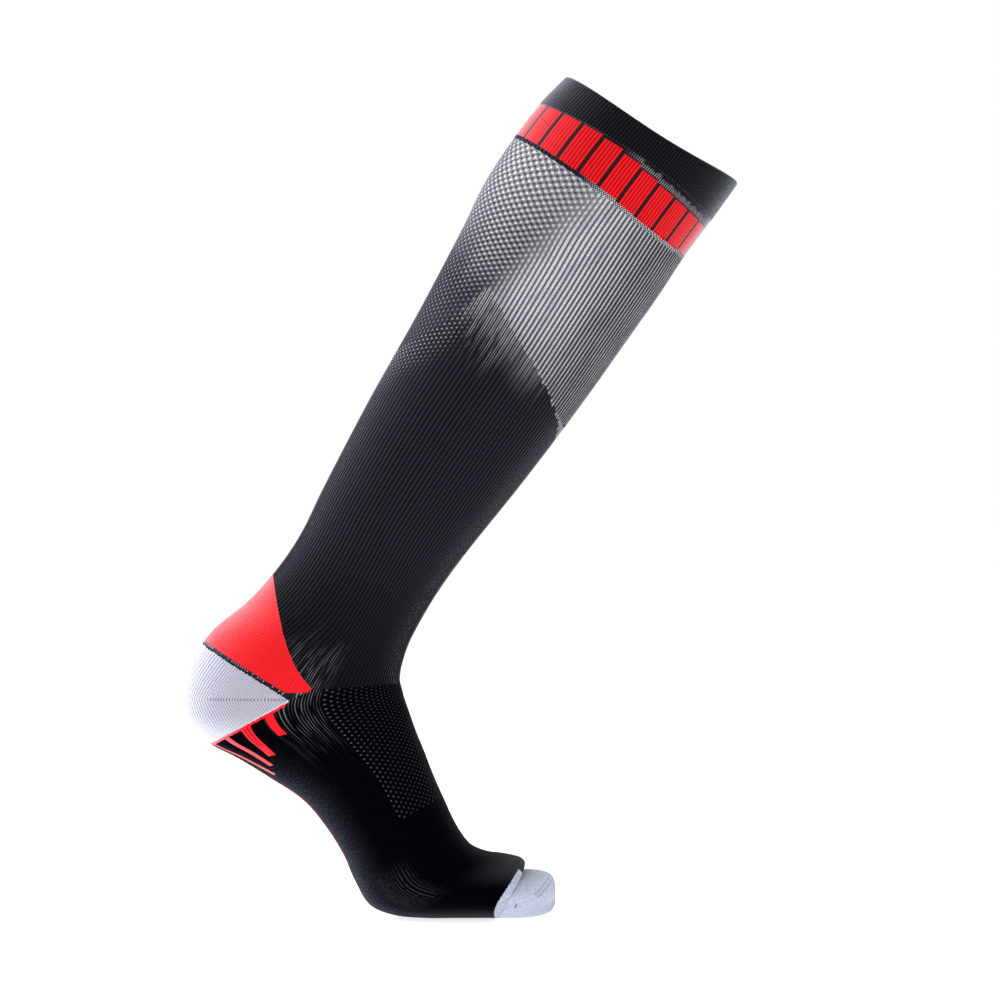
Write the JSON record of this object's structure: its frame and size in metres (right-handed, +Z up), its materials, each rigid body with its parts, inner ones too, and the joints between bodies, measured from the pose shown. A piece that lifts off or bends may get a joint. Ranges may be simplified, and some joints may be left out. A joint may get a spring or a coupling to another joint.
{
  "type": "compression stocking",
  "caption": "Knee-high compression stocking, hollow and filled out as worn on tiptoe: doubled cuff, block band, ribbed leg, heel and toe pockets.",
  "frame": {"origin": "middle of the cuff opening, where the wearer's leg holds the stocking", "axes": "+Z up as the foot stands on tiptoe, +X towards the toes, +Y and -Y the two sides of the foot; the stocking is the same on both sides of the XZ plane"},
  "size_m": [0.3152, 0.11, 0.4773],
  "materials": {
    "black_welt": "matt",
    "red_blocks": "matt",
    "grey_rib": "soft sheen",
    "black_rib": "soft sheen",
    "red_knit": "matt",
    "grey_knit": "matt",
    "black_knit": "matt"
  },
  "bodies": {
    "root": {"welt": "black_welt", "block_band": "red_blocks", "calf": "grey_rib", "lower_leg": "black_rib", "tendon_patch": "red_knit", "heel_pocket": "grey_knit", "foot": "black_knit", "toe_pocket": "grey_knit"}
  },
  "joints": []
}
